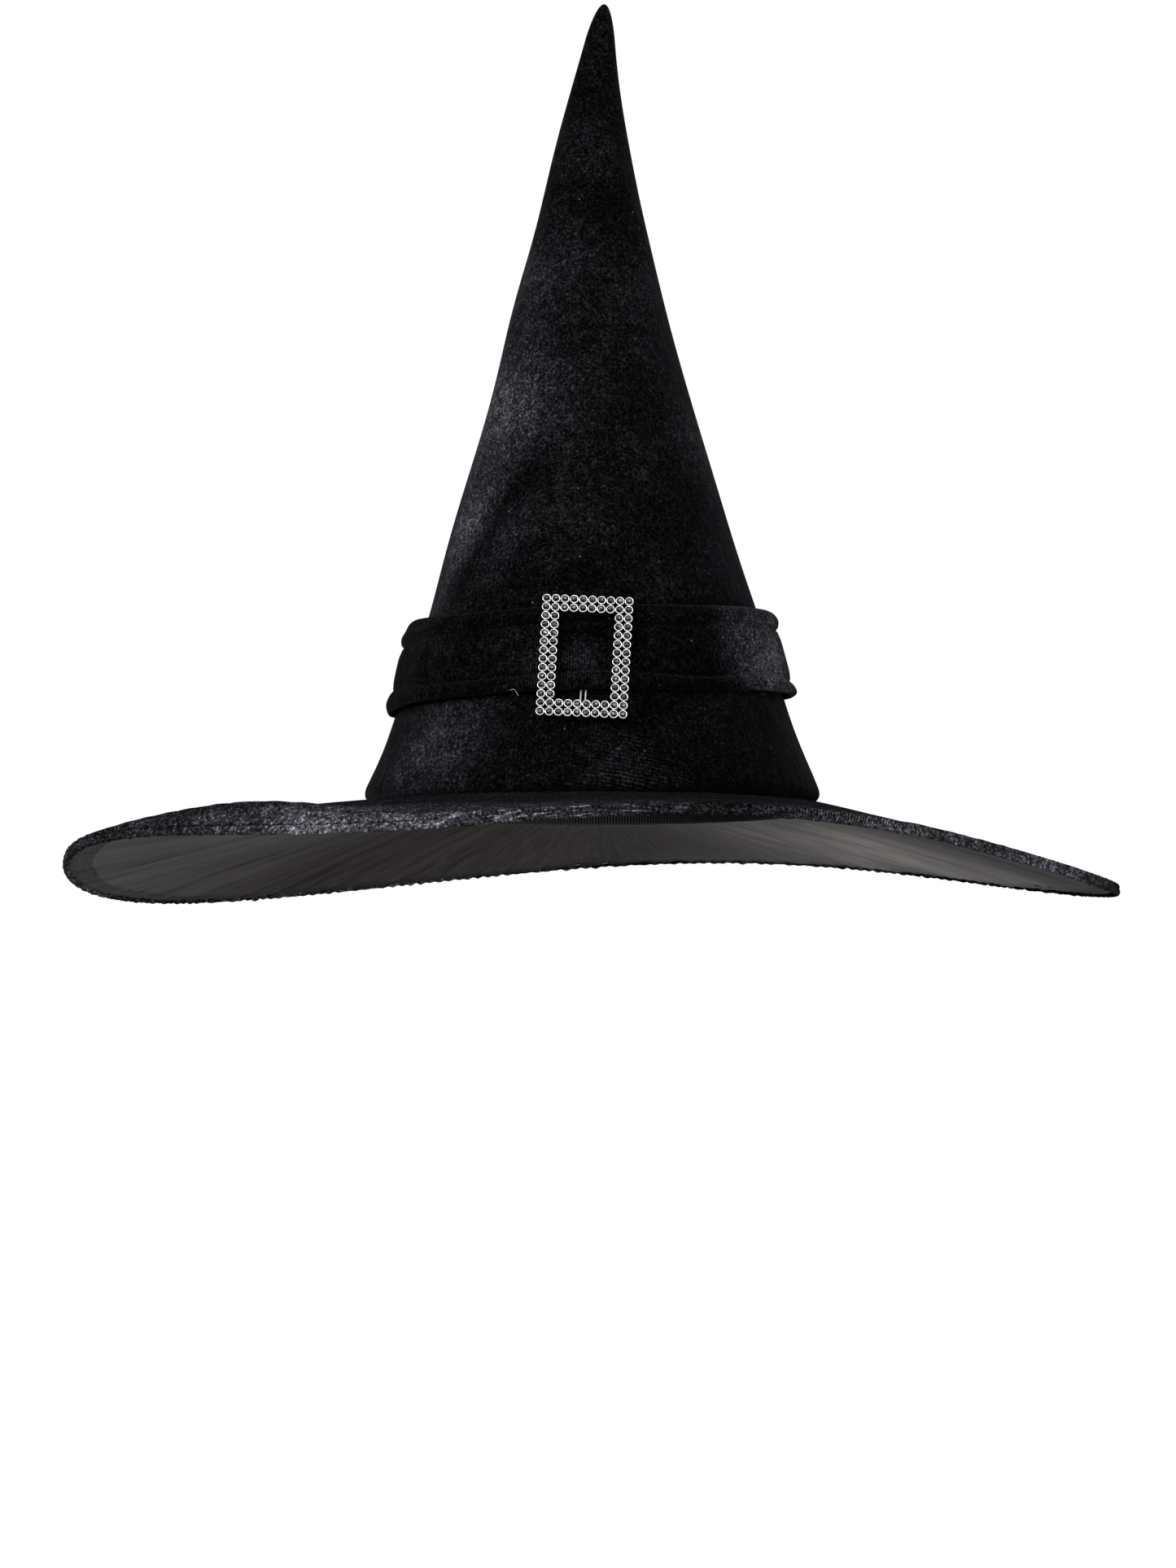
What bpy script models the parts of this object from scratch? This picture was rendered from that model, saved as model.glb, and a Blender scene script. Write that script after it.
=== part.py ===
"""Pointed costume hat: velour crown and wired brim, hat band, and a stone-set slide buckle.

Metres, +Z up. The hat stands on its brim: z = 0 is the brim's lowest point and the crown's axis
is x = y = 0. The front faces -Y. Every crown and brim layer is a turned profile, and the brim's
layers then all take the same droop, so that they stay parallel. The buckle's pieces hang on an
empty on the crown's axis, about which the buckle slides along the band.
"""

from math import atan2, cos, degrees, exp, hypot, pi, radians, sin, sqrt, tan

import bmesh
import bpy
from mathutils import Matrix, Vector

# ---- Driving dimensions ----
SEGMENTS = 40  # round every turned piece, so that nested layers stay parallel

# Crown: a slightly hollow cone that flares out over the seam. Heights count from the seam.
CROWN_HEIGHT = 0.3732
CONE_RADIUS = 0.1042
CONE_APEX = 0.407
CONE_HOLLOW = 1.30
FLARE = 0.003
FLARE_HEIGHT = 0.0215
BASE_ROUND = 0.007
TIP_DOME = 0.0155  # height of the rounded tip
TIP_BLUNT = 0.0029  # its radius squared over the distance from the top
TIP_LEAN = 0.0060  # sideways, at the very tip
CROWN_ROWS = (0.0004, 0.005, 0.011, 0.020, 0.033, 0.052, 0.110, 0.185, 0.260, 0.315)
TIP_ROWS = (0.345, 0.360, 0.3675, 0.3715)  # the cover alone reaches up here
LEAN_START = 0.275
COVER_THICK = 0.0013
FOAM_THICK = 0.0030
LAYER_GAP = 0.0004

# Brim: one ring, flat as far as the crown's base, which droops in long waves at its edge.
BRIM_RADIUS = 0.2415
OPENING_RADIUS = 0.0962
FLAT_RADIUS = 0.104
BRIM_ROWS = (OPENING_RADIUS, FLAT_RADIUS, 0.130, 0.165, 0.198, 0.218)
EDGE_DROOP = 0.0293  # mean depth of the edge's underside below the seam
# (waves round the brim, height, azimuth of the first crest in degrees)
DROOP_WAVES = ((1, 0.0034, -125), (2, 0.0109, 76.5), (3, 0.0045, -48), (4, 0.0019, 19), (5, 0.0011, -4))
CURL_HEIGHT = 0.0075  # ridge inside the edge, at the wearer's right of the front
CURL_AZIMUTH = 231
CURL_SPREAD = 17
CURL_WIDTH = 0.014
BRIM_COVER = 0.0011
BRIM_FOAM = 0.0024
LINING_THICK = 0.0006
HEM_DEPTH = 0.0052
HEM_WIDTH = 0.011
HEM_WALL = 0.0012
HEM_SHOULDER = 0.0012  # the top falls away this far at the edge
WIRE_RADIUS = 0.0006
WIRE_INSET = 0.0052
WIRE_GAP = 0.0010
WIRE_STEPS = 96  # the sleeve covers one step of the wire at each end
SLEEVE_CLEARANCE = 0.0003
SLEEVE_WALL = 0.0004

# Sweatband: follows the inside of the crown from the underside of the brim.
SWEATBAND_RISE = 0.025
SWEATBAND_THICK = 0.0012

# Hat band: one strip, a little clear of the cone, with a rolled lip above and below.
BAND_CENTRE = 0.0657
BAND_HEIGHT = 0.0387
BAND_RADIUS = 0.0863  # inside, at its middle
BAND_SLOPE = 0.26
BAND_THICK = 0.0031
BAND_LIP = 0.0012
BAND_SIDE_TILT = 0.0028
BAND_SADDLE = 0.0005

# Buckle: a frame of round cups, two wide, and a two-wire bar behind the band.
PITCH = 0.0041
COLUMNS, ROWS = 10, 14
FRAME_THICK = 0.0014
STONE_WEB = 0.0004
STONE_HEIGHT = 0.0014
STONE_CROWN = 0.55
BUCKLE_RADIUS = 0.0922  # back of the frame, from the crown's axis
BUCKLE_CENTRE = 0.0604
BUCKLE_AZIMUTH = -1.8
BUCKLE_TILT = 14.5
BUCKLE_ROLL = 2.7
BAR_WIRE = 0.0004
BAR_SPACING = 0.0022
BAR_SETBACK = 0.0057

# Tack stitches between band and crown: (name, azimuth from +X in degrees)
TACKS = (("front_left", 248.3), ("front_right", 288.5), ("back_left", 150.0), ("back_right", 30.0))
TACK_WIDTH = 0.0012
TACK_HEIGHT = 0.0030

# colour, roughness, metallic
FINISHES = {
    "velour": ((0.012, 0.012, 0.014), 0.9, 0.0),
    "foam": ((0.05, 0.05, 0.055), 0.95, 0.0),
    "lining": ((0.045, 0.043, 0.043), 0.6, 0.0),
    "ribbon": ((0.02, 0.02, 0.022), 0.75, 0.0),
    "thread": ((0.6, 0.6, 0.58), 0.8, 0.0),
    "spring_steel": ((0.55, 0.56, 0.58), 0.3, 1.0),
    "plated_metal": ((0.8, 0.8, 0.82), 0.15, 1.0),
    "crystal": ((0.85, 0.88, 0.92), 0.05, 0.0),
}


# ---- Shape of the hat ----
def crown_radius(height):
    """Outside of the crown's cover."""
    height = max(height, 0.0)
    radius = CONE_RADIUS * max(1 - height / CONE_APEX, 0.0) ** CONE_HOLLOW
    radius += FLARE * exp(-((height / FLARE_HEIGHT) ** 2))
    if height < BASE_ROUND:
        radius -= BASE_ROUND - sqrt(BASE_ROUND**2 - (BASE_ROUND - height) ** 2)
    from_top = CROWN_HEIGHT - height
    if from_top < TIP_DOME:
        radius = sqrt(TIP_BLUNT * max(from_top, 0.0))
    return radius


def tip_lean(height):
    """How far the crown's centre has moved towards +X at a height."""
    share = max(height - LEAN_START, 0.0) / (CROWN_HEIGHT - LEAN_START)
    return TIP_LEAN * share**2


def edge_depth(azimuth):
    """Depth of the edge's underside below the seam plane, with the azimuth in radians."""
    waves = sum(size * cos(count * (azimuth - radians(crest))) for count, size, crest in DROOP_WAVES)
    return EDGE_DROOP - waves


def brim_height(x, y):
    """Top of the brim against the seam plane."""
    radius = hypot(x, y)
    share = max(radius - FLAT_RADIUS, 0.0) / (BRIM_RADIUS - FLAT_RADIUS)
    azimuth = atan2(y, x)
    drop = (edge_depth(azimuth) - HEM_DEPTH) * share**1.1
    off_curl = (degrees(azimuth) - CURL_AZIMUTH + 180) % 360 - 180
    inside_edge = (BRIM_RADIUS - radius) / CURL_WIDTH
    ridge = inside_edge * exp(1 - inside_edge) if inside_edge > 0 else 0.0
    return -drop + CURL_HEIGHT * exp(-((off_curl / CURL_SPREAD) ** 2)) * ridge * share


def lowest_edge():
    """The deepest point of the brim's modelled edge."""
    return max(edge_depth(2 * pi * step / SEGMENTS) for step in range(SEGMENTS))


SEAM_HEIGHT = lowest_edge()


def band_rise(azimuth):
    """The band sits lower on one side, and dips in front and behind."""
    return BAND_SIDE_TILT * cos(azimuth) + BAND_SADDLE * cos(2 * azimuth)


# ---- Tools ----
def clear_scene():
    for old in list(bpy.data.objects):
        bpy.data.objects.remove(old, do_unlink=True)


def finish_material(name):
    material = bpy.data.materials.get(name)
    if material:
        return material
    colour, roughness, metallic = FINISHES[name]
    material = bpy.data.materials.new(name)
    material.use_nodes = True
    shader = material.node_tree.nodes["Principled BSDF"]
    shader.inputs["Base Color"].default_value = (*colour, 1.0)
    shader.inputs["Roughness"].default_value = roughness
    shader.inputs["Metallic"].default_value = metallic
    return material


def new_object(name, mesh_builder, finish, smooth=True):
    """Turns a bmesh into a named object with one material."""
    bmesh.ops.recalc_face_normals(mesh_builder, faces=mesh_builder.faces[:])
    mesh = bpy.data.meshes.new(name)
    mesh_builder.to_mesh(mesh)
    mesh_builder.free()
    mesh.materials.append(finish_material(finish))
    if smooth:
        mesh.shade_smooth()
        mesh.set_sharp_from_angle(angle=radians(35))
    made = bpy.data.objects.new(name, mesh)
    bpy.context.scene.collection.objects.link(made)
    return made


def turned(profile):
    """Spins a closed outline of (radius, height) points about Z."""
    build = bmesh.new()
    points = [build.verts.new((radius, 0.0, height)) for radius, height in profile]
    edges = [build.edges.new(pair) for pair in zip(points, points[1:] + points[:1])]
    bmesh.ops.spin(
        build, geom=points + edges, axis=(0, 0, 1), cent=(0, 0, 0), steps=SEGMENTS, angle=2 * pi
    )
    bmesh.ops.remove_doubles(build, verts=build.verts[:], dist=1e-6)
    return build


def split_alike(build):
    """Splits every quad that faces up or down on the same diagonal, so that bent layers can't touch."""
    for face in [face for face in build.faces if len(face.verts) == 4]:
        middle = face.calc_center_median()
        across = Vector((-middle.y, middle.x, 0))
        near, far = [], []
        for vertex in face.verts:
            ahead = vertex.co.dot(across) > 0
            outward = hypot(vertex.co.x, vertex.co.y) > hypot(middle.x, middle.y)
            if ahead and outward:
                far.append(vertex)
            elif not ahead and not outward:
                near.append(vertex)
        if len(near) == 1 and len(far) == 1:
            bmesh.utils.face_split(face, near[0], far[0])


def bend(build, height_at):
    """Moves each vertex up by height_at(x, y)."""
    split_alike(build)
    for vertex in build.verts:
        vertex.co.z += height_at(vertex.co.x, vertex.co.y)


def lean_and_lift(build):
    """Leans a crown layer's tip and sets it on the seam."""
    for vertex in build.verts:
        vertex.co.x += tip_lean(vertex.co.z)
        vertex.co.z += SEAM_HEIGHT


# ---- Crown ----
def crown_shell(outer_heights, inner_heights, outside, thick, top):
    """Profile of a crown layer, from its outer foot over the tip to its inner foot."""
    outer = [(crown_radius(height) - outside, height) for height in outer_heights]
    inner = [(crown_radius(height) - outside - thick, height) for height in inner_heights]
    return outer + [(0.0, top)] + [(0.0, inner[-1][1] + 2 * thick)] + inner[::-1]


def crown_cover():
    outer_heights = sorted(CROWN_ROWS + (BASE_ROUND / 3,) + TIP_ROWS)
    inner_heights = CROWN_ROWS + TIP_ROWS[:1]
    build = turned(crown_shell(outer_heights, inner_heights, 0.0, COVER_THICK, CROWN_HEIGHT))
    lean_and_lift(build)
    new_object("crown_cover", build, "velour")


def crown_foam():
    outside = COVER_THICK + LAYER_GAP
    inner_heights = CROWN_ROWS[:1] + CROWN_ROWS[2:-1:2] + CROWN_ROWS[-1:]
    top = CROWN_ROWS[-1] + 4 * FOAM_THICK
    build = turned(crown_shell(CROWN_ROWS, inner_heights, outside, FOAM_THICK, top))
    lean_and_lift(build)
    new_object("crown_foam", build, "foam")


def sweatband():
    """A strip that starts level with the lining and climbs inside the crown's foam."""
    inside_foam = COVER_THICK + FOAM_THICK + 2 * LAYER_GAP
    foot = OPENING_RADIUS - LAYER_GAP
    underside = -(BRIM_COVER + BRIM_FOAM + LINING_THICK + 2 * LAYER_GAP)
    top = crown_radius(SWEATBAND_RISE) - inside_foam
    outer = [(foot, underside), (foot, 0.0), (top, SWEATBAND_RISE)]
    inner = [(radius - SWEATBAND_THICK, height) for radius, height in outer]
    build = turned(outer + inner[::-1])
    bmesh.ops.translate(build, verts=build.verts[:], vec=(0, 0, SEAM_HEIGHT))
    new_object("sweatband", build, "ribbon")


# ---- Brim ----
def brim_rows(outermost):
    """Radii shared by every brim layer, out to its own edge."""
    rows = BRIM_ROWS + (BRIM_RADIUS - HEM_WIDTH, BRIM_RADIUS - WIRE_INSET)
    return [radius for radius in rows if radius < outermost - 0.001] + [outermost]


def drooped(name, profile, finish):
    """Turns a brim layer drawn flat below the seam plane, and gives it the brim's droop."""
    build = turned(profile)
    bend(build, brim_height)
    bmesh.ops.translate(build, verts=build.verts[:], vec=(0, 0, SEAM_HEIGHT))
    new_object(name, build, finish)


def brim_top():
    """Upper cloth, turned down over the edge to make the hem."""
    inner_wall = BRIM_RADIUS - HEM_WALL
    flat_rows = brim_rows(BRIM_RADIUS)[:-1]
    top = [(radius, 0.0) for radius in flat_rows] + [(BRIM_RADIUS, -HEM_SHOULDER)]
    wall = [(BRIM_RADIUS, -HEM_DEPTH), (inner_wall, -HEM_DEPTH), (inner_wall, -BRIM_COVER - 0.0002)]
    under = [(radius, -BRIM_COVER) for radius in flat_rows[::-1]]
    drooped("brim_top", top + wall + under, "velour")


def flat_layer(name, outermost, above, thick, finish):
    rows = brim_rows(outermost)
    upper = [(radius, -above) for radius in rows]
    lower = [(radius, -above - thick) for radius in rows[::-1]]
    drooped(name, upper + lower, finish)


def brim_foam():
    flat_layer("brim_foam", BRIM_RADIUS - HEM_WIDTH, BRIM_COVER + LAYER_GAP, BRIM_FOAM, "foam")


def brim_lining():
    above = BRIM_COVER + BRIM_FOAM + 2 * LAYER_GAP
    edge = BRIM_RADIUS - HEM_WALL - LAYER_GAP
    flat_layer("brim_lining", edge, above, LINING_THICK, "lining")


def hem_circle(build, radius, sides, azimuth):
    """Corners of a small circle round the middle of the hem, at an azimuth in radians."""
    centre = BRIM_RADIUS - WIRE_INSET
    depth = BRIM_COVER + BRIM_FOAM / 2 + LAYER_GAP
    corners = []
    for side in range(sides):
        turn = 2 * pi * side / sides
        out = centre + radius * cos(turn)
        place = (out * cos(azimuth), out * sin(azimuth), radius * sin(turn) - depth)
        corners.append(build.verts.new(place))
    return corners


def sweep_round(name, build, sweep, steps):
    """Sweeps a section's faces round the crown's axis, along the hem."""
    section = build.verts[:] + build.edges[:] + build.faces[:]
    bmesh.ops.spin(build, geom=section, axis=(0, 0, 1), cent=(0, 0, 0), steps=steps, angle=sweep)
    bend(build, brim_height)
    bmesh.ops.translate(build, verts=build.verts[:], vec=(0, 0, SEAM_HEIGHT))
    new_object(name, build, "spring_steel")


def brim_wire():
    """One length of spring wire, bent to a hoop with its two ends meeting behind."""
    gap = WIRE_GAP / BRIM_RADIUS
    build = bmesh.new()
    build.faces.new(hem_circle(build, WIRE_RADIUS, 6, pi / 2 + gap / 2))
    sweep_round("brim_wire", build, 2 * pi - gap, WIRE_STEPS)


def wire_sleeve():
    """The crimped tube over the wire's two ends."""
    sweep = 4 * pi / WIRE_STEPS
    start = (pi - sweep) / 2
    sides = 8
    build = bmesh.new()
    inner = hem_circle(build, WIRE_RADIUS + SLEEVE_CLEARANCE, sides, start)
    outer = hem_circle(build, WIRE_RADIUS + SLEEVE_CLEARANCE + SLEEVE_WALL, sides, start)
    for side in range(sides):
        after = (side + 1) % sides
        build.faces.new((inner[side], inner[after], outer[after], outer[side]))
    sweep_round("wire_sleeve", build, sweep, 2)


# ---- Hat band ----
def band_inner_radius(height):
    """Inside of the band at a height from its middle."""
    return BAND_RADIUS - BAND_SLOPE * height


def hat_band():
    half = BAND_HEIGHT / 2
    lip = BAND_THICK + BAND_LIP
    edge = 0.6 * BAND_THICK
    # (height as a share of half the band, how far it stands out)
    lower = [(-1.0, edge), (-0.93, lip), (-0.70, lip), (-0.55, BAND_THICK)]
    upper = [(0.50, BAND_THICK), (0.66, lip), (0.93, lip), (1.0, edge)]
    outer = [(band_inner_radius(share * half) + out, share * half) for share, out in lower + upper]
    inner = [(band_inner_radius(share * half), share * half) for share in (0.97, -0.97)]
    build = turned(outer + inner)
    bend(build, lambda x, y: band_rise(atan2(y, x)))
    bmesh.ops.translate(build, verts=build.verts[:], vec=(0, 0, SEAM_HEIGHT + BAND_CENTRE))
    new_object("hat_band", build, "velour")


def tack_stitches():
    """Short thread bars in the gap between crown and band."""
    for name, azimuth in TACKS:
        angle = radians(azimuth)
        height = BAND_CENTRE + band_rise(angle)
        facet = cos(pi / SEGMENTS)
        outer = band_inner_radius(0) * facet - LAYER_GAP - BAND_SLOPE * TACK_HEIGHT / 2
        inner = crown_radius(height - TACK_HEIGHT / 2) + LAYER_GAP
        build = bmesh.new()
        bmesh.ops.create_cube(build, size=1.0)
        bmesh.ops.scale(build, verts=build.verts[:], vec=(outer - inner, TACK_WIDTH, TACK_HEIGHT))
        bmesh.ops.bevel(
            build, geom=build.edges[:], offset=0.0002, segments=1, affect="EDGES", profile=0.5
        )
        tack = new_object("tack_" + name, build, "thread")
        tack.location = Vector((cos(angle), sin(angle), 0)) * (outer + inner) / 2
        tack.location.z = SEAM_HEIGHT + height
        tack.rotation_euler = (0, 0, angle)


# ---- Buckle ----
def buckle_axis():
    """Empty on the crown's axis that carries every piece of the buckle."""
    pivot = bpy.data.objects.new("buckle_axis", None)
    bpy.context.scene.collection.objects.link(pivot)
    pivot.location = (0, 0, SEAM_HEIGHT + BUCKLE_CENTRE)
    pivot.rotation_euler = (0, 0, radians(BUCKLE_AZIMUTH))
    return pivot


def hang_on(pivot, piece):
    """Sets a buckle piece, drawn in the X-Z plane with its front towards -Y, against the band."""
    roll = Matrix.Rotation(radians(BUCKLE_ROLL), 4, "Y")
    tilt = Matrix.Rotation(radians(-BUCKLE_TILT), 4, "X")
    piece.parent = pivot
    piece.matrix_local = Matrix.Translation((0, -BUCKLE_RADIUS, 0)) @ tilt @ roll


def cell_centre(column, row):
    return (column - (COLUMNS - 1) / 2) * PITCH, (row - (ROWS - 1) / 2) * PITCH


def tile_slab(cells, back, front):
    """Eight-sided tiles that share their flat sides, as one slab between two depths along Y."""
    build = bmesh.new()
    half = PITCH / 2
    short = half * tan(pi / 8)
    corners = [(half, -short), (half, short), (short, half), (-short, half)]
    corners += [(-x, -y) for x, y in corners]
    for column, row in cells:
        x, z = cell_centre(column, row)
        build.faces.new([build.verts.new((x + dx, back, z + dz)) for dx, dz in corners])
    bmesh.ops.remove_doubles(build, verts=build.verts[:], dist=1e-6)
    raised = bmesh.ops.extrude_face_region(build, geom=build.faces[:])
    lifted = [item for item in raised["geom"] if isinstance(item, bmesh.types.BMVert)]
    bmesh.ops.translate(build, verts=lifted, vec=(0, front - back, 0))
    return build


def ring_cells(inset):
    """Rows of cells at a distance from the outside: (name, list of cells), each cell once."""
    left, right = inset, COLUMNS - 1 - inset
    low, high = inset, ROWS - 1 - inset
    return (
        ("top", [(column, high) for column in range(left, right + 1)]),
        ("bottom", [(column, low) for column in range(left, right + 1)]),
        ("left", [(left, row) for row in range(low + 1, high)]),
        ("right", [(right, row) for row in range(low + 1, high)]),
    )


def buckle_frame(pivot):
    cells = [cell for inset in (0, 1) for _, row in ring_cells(inset) for cell in row]
    build = tile_slab(cells, 0.0, -FRAME_THICK)
    hang_on(pivot, new_object("buckle_frame", build, "plated_metal", smooth=False))


def crystal_strip(pivot, name, cells):
    """A row of cut stones, which stand out of the thin web that joins them."""
    back = -FRAME_THICK - LAYER_GAP
    build = tile_slab(cells, back, back - STONE_WEB)
    fronts = [face for face in build.faces if face.calc_center_median().y < back - STONE_WEB * 0.9]
    fronts = [face for face in fronts if abs(face.normal.y) > 0.9]
    raised = bmesh.ops.extrude_discrete_faces(build, faces=fronts)
    for face in raised["faces"]:
        corners = face.verts[:]
        about = Matrix.Translation(-face.calc_center_median())
        bmesh.ops.scale(build, verts=corners, vec=(STONE_CROWN, 1, STONE_CROWN), space=about)
        bmesh.ops.translate(build, verts=corners, vec=(0, -STONE_HEIGHT, 0))
    hang_on(pivot, new_object(name, build, "crystal", smooth=False))


def bar_wires(pivot):
    """Two parallel wires behind the band, which come forward to the frame at both ends."""
    low = -(ROWS / 2 - 1.0) * PITCH
    high = (ROWS / 2 - 0.12) * PITCH
    near = BAR_WIRE + LAYER_GAP
    far = BAR_SETBACK
    # (depth behind the frame, height)
    route = [(near, low), (near + 0.0008, low + 0.0008), (far - 0.0024, low + 0.0040)]
    route += [(far - 0.0010, low + 0.0072), (far, low + 0.0112), (far, high - 0.0024)]
    route += [(far - 0.0006, high - 0.0010), (near + 0.0020, high), (near, high)]
    for name, side in (("left", -1), ("right", 1)):
        curve = bpy.data.curves.new("bar_wire_" + name, "CURVE")
        curve.dimensions = "3D"
        curve.bevel_depth = BAR_WIRE
        curve.bevel_resolution = 1
        curve.use_fill_caps = True
        spline = curve.splines.new("POLY")
        spline.points.add(len(route) - 1)
        for point, (behind, height) in zip(spline.points, route):
            point.co = (side * BAR_SPACING / 2, behind, height, 1.0)
        curve.materials.append(finish_material("plated_metal"))
        wire = bpy.data.objects.new("bar_wire_" + name, curve)
        bpy.context.scene.collection.objects.link(wire)
        hang_on(pivot, wire)


def buckle():
    pivot = buckle_axis()
    buckle_frame(pivot)
    for inset, ring in ((0, "outer"), (1, "inner")):
        for side, cells in ring_cells(inset):
            crystal_strip(pivot, f"crystals_{side}_{ring}", cells)
    bar_wires(pivot)


def main():
    clear_scene()
    crown_cover()
    crown_foam()
    sweatband()
    brim_top()
    brim_foam()
    brim_lining()
    brim_wire()
    wire_sleeve()
    hat_band()
    tack_stitches()
    buckle()


main()
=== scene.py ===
from math import cos, pi, radians, sin, sqrt

import bmesh
import bpy
import numpy as np
from mathutils import Matrix, Vector


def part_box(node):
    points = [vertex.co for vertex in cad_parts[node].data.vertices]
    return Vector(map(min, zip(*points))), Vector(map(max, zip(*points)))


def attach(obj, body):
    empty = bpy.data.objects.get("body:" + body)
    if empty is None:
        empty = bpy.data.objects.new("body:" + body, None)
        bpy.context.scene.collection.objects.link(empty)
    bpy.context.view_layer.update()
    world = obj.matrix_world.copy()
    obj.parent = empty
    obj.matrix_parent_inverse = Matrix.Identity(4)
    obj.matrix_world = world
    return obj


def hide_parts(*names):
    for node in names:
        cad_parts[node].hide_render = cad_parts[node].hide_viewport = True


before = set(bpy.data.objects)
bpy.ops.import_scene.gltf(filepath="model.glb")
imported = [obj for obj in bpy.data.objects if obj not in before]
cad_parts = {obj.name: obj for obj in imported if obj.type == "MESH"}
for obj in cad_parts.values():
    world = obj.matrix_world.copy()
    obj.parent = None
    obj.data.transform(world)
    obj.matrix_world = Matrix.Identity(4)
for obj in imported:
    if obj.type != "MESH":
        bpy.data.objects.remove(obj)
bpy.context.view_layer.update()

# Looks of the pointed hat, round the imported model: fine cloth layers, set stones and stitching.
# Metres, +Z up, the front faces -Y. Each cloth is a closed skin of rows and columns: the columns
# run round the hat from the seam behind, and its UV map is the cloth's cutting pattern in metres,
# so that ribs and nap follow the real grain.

# ---- Dimensions shared with the CAD model ----
CROWN_HEIGHT = 0.3732
CONE_RADIUS = 0.1042
CONE_APEX = 0.407
CONE_HOLLOW = 1.30
FLARE = 0.003
FLARE_HEIGHT = 0.0215
BASE_ROUND = 0.007
TIP_DOME = 0.0155
TIP_BLUNT = 0.0029
TIP_LEAN = 0.0060
LEAN_START = 0.275
COVER_THICK = 0.0013
FOAM_THICK = 0.0030
LAYER_GAP = 0.0004
FOAM_TOP = 0.3266

BRIM_RADIUS = 0.2415
OPENING_RADIUS = 0.0962
FLAT_RADIUS = 0.104
EDGE_DROOP = 0.0293
DROOP_WAVES = ((1, 0.0034, -125), (2, 0.0109, 76.5), (3, 0.0045, -48), (4, 0.0019, 19), (5, 0.0011, -4))
CURL_HEIGHT = 0.0075
CURL_AZIMUTH = 231
CURL_SPREAD = 17
CURL_WIDTH = 0.014
BRIM_COVER = 0.0011
BRIM_FOAM = 0.0024
LINING_THICK = 0.0006
HEM_DEPTH = 0.0052
HEM_WIDTH = 0.011

SWEATBAND_RISE = 0.025
SWEATBAND_THICK = 0.0012

BAND_CENTRE = 0.0657
BAND_HEIGHT = 0.0387
BAND_RADIUS = 0.0863
BAND_SLOPE = 0.26
BAND_THICK = 0.0031
BAND_LIP = 0.0012
BAND_SIDE_TILT = 0.0028
BAND_SADDLE = 0.0005

PITCH = 0.0041
COLUMNS, ROWS = 10, 14
BUCKLE_RADIUS = 0.0922
BUCKLE_CENTRE = 0.0604
BUCKLE_AZIMUTH = -1.8
BUCKLE_TILT = 14.5
BUCKLE_ROLL = 2.7
BAR_WIRE = 0.0004
BAR_SPACING = 0.0022
BAR_SETBACK = 0.0057

TACKS = (("front_left", 248.3), ("front_right", 288.5), ("back_left", 150.0), ("back_right", 30.0))

SEAM_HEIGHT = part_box("brim_top")[1].z  # the crown's seam, and the brim's flat ring round it

# Depths under the brim's top, down through its layers
FOAM_DEPTH = BRIM_COVER + LAYER_GAP
LINING_DEPTH = FOAM_DEPTH + BRIM_FOAM + LAYER_GAP
UNDERSIDE = LINING_DEPTH + LINING_THICK

# ---- Dimensions of the looks ----
SEAM_AZIMUTH = 90  # every sewn join is at the back
FRONT_AZIMUTH = 270
SCALLOPS = 303  # puckers round the hem
TACK_TURNS = 5
STITCH_PITCH = 0.0034
STITCH_LENGTH = 0.0024
THREAD_RADIUS = 0.00022
LOOSE_THREAD_RADIUS = 0.00011
CLOTH_FOOT = 0.0004  # from the seam up to the crown layers' lower edges

LIP_GROOVE = 0.0026  # depth of the topstitched crease in the brim's edge
LIP_BOTTOM = 0.0066
LIP_OUT = 0.0013  # how far the edge's two rolls stand out
LIP_FOOT = 0.0006  # from the brim's edge in to the foot of the rolls
LIP_CREASE = 0.0005  # from the brim's edge in to the topstitching
LIP_BACK = 0.0016  # from the brim's edge in to where its top rolls over
LIP_THINNED = 0.0006  # what the rolls lose where the edge is pressed thin
EDGE_PRESS = 0.30  # share of its depth that the edge loses there
PRESS_WIDTH = 0.005  # how far in from the edge it is pressed
PRESS_SPREAD = 29  # degrees either way from the curl, which stays full
HEM_INSIDE = 0.0009  # from the brim's edge in to the inside of its lip
LINING_EDGE = 0.0011  # from the brim's edge in to the lining's
RING_RADIUS = 0.16  # middle of the brim, where its lining's pattern is measured round
HEM_STITCH = 0.0120  # from the brim's edge in to the row that holds the lining

BAND_SAG = 0.0040  # how far the lower lip hangs at the wearer's right
BAND_CREASE = 0.0016  # depth of the folds along the lips, in front
BUCKLE_ROOM = 0.0004  # how much flatter the band is where the buckle slides over it

CUP_RADIUS = 0.00202
CUP_DEPTH = 0.0023
STONE_RADIUS = 0.00143
STONE_TOP = 0.0030
FACETS = 8
LINK_RADIUS = 0.0004
LINK_LENGTH = 0.0016

# Spots of painted light and shade laid over nap pressed lighter (a negative weight darkens), and spots where
# the cloth is stretched enough to show its wales:
# (x, y, z, reach, weight)
# Crown: painted light down the left side, where the lamps fall, together with lighter nap
CROWN_LIT_AND_CRUSHED = (
    (-0.070, -0.064, 0.066, 0.040, 3.6), (-0.068, -0.026, 0.118, 0.044, 1.6),
    (-0.056, -0.030, 0.170, 0.050, 4.6), (-0.042, -0.016, 0.225, 0.052, 6.2),
    (-0.024, -0.010, 0.285, 0.046, 2.2), (-0.008, -0.006, 0.345, 0.036, 1.0),
    (0.0275, -0.012, 0.285, 0.036, 1.8), (0.052, -0.018, 0.205, 0.034, 1.2),
    (0.000, -0.040, 0.240, 0.050, 0.3),
)
# Painted shade along a crease that has no fold in the cloth's shape
CROWN_CREASE_SHADE = ((-0.018, -0.053, 0.206), (-0.070, -0.038, 0.124), 0.016, 0.78)  # (from, to, width, shade)
CREASE_REACH = 0.62  # how far from its middle a crease fades out, as a share of its length
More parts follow.
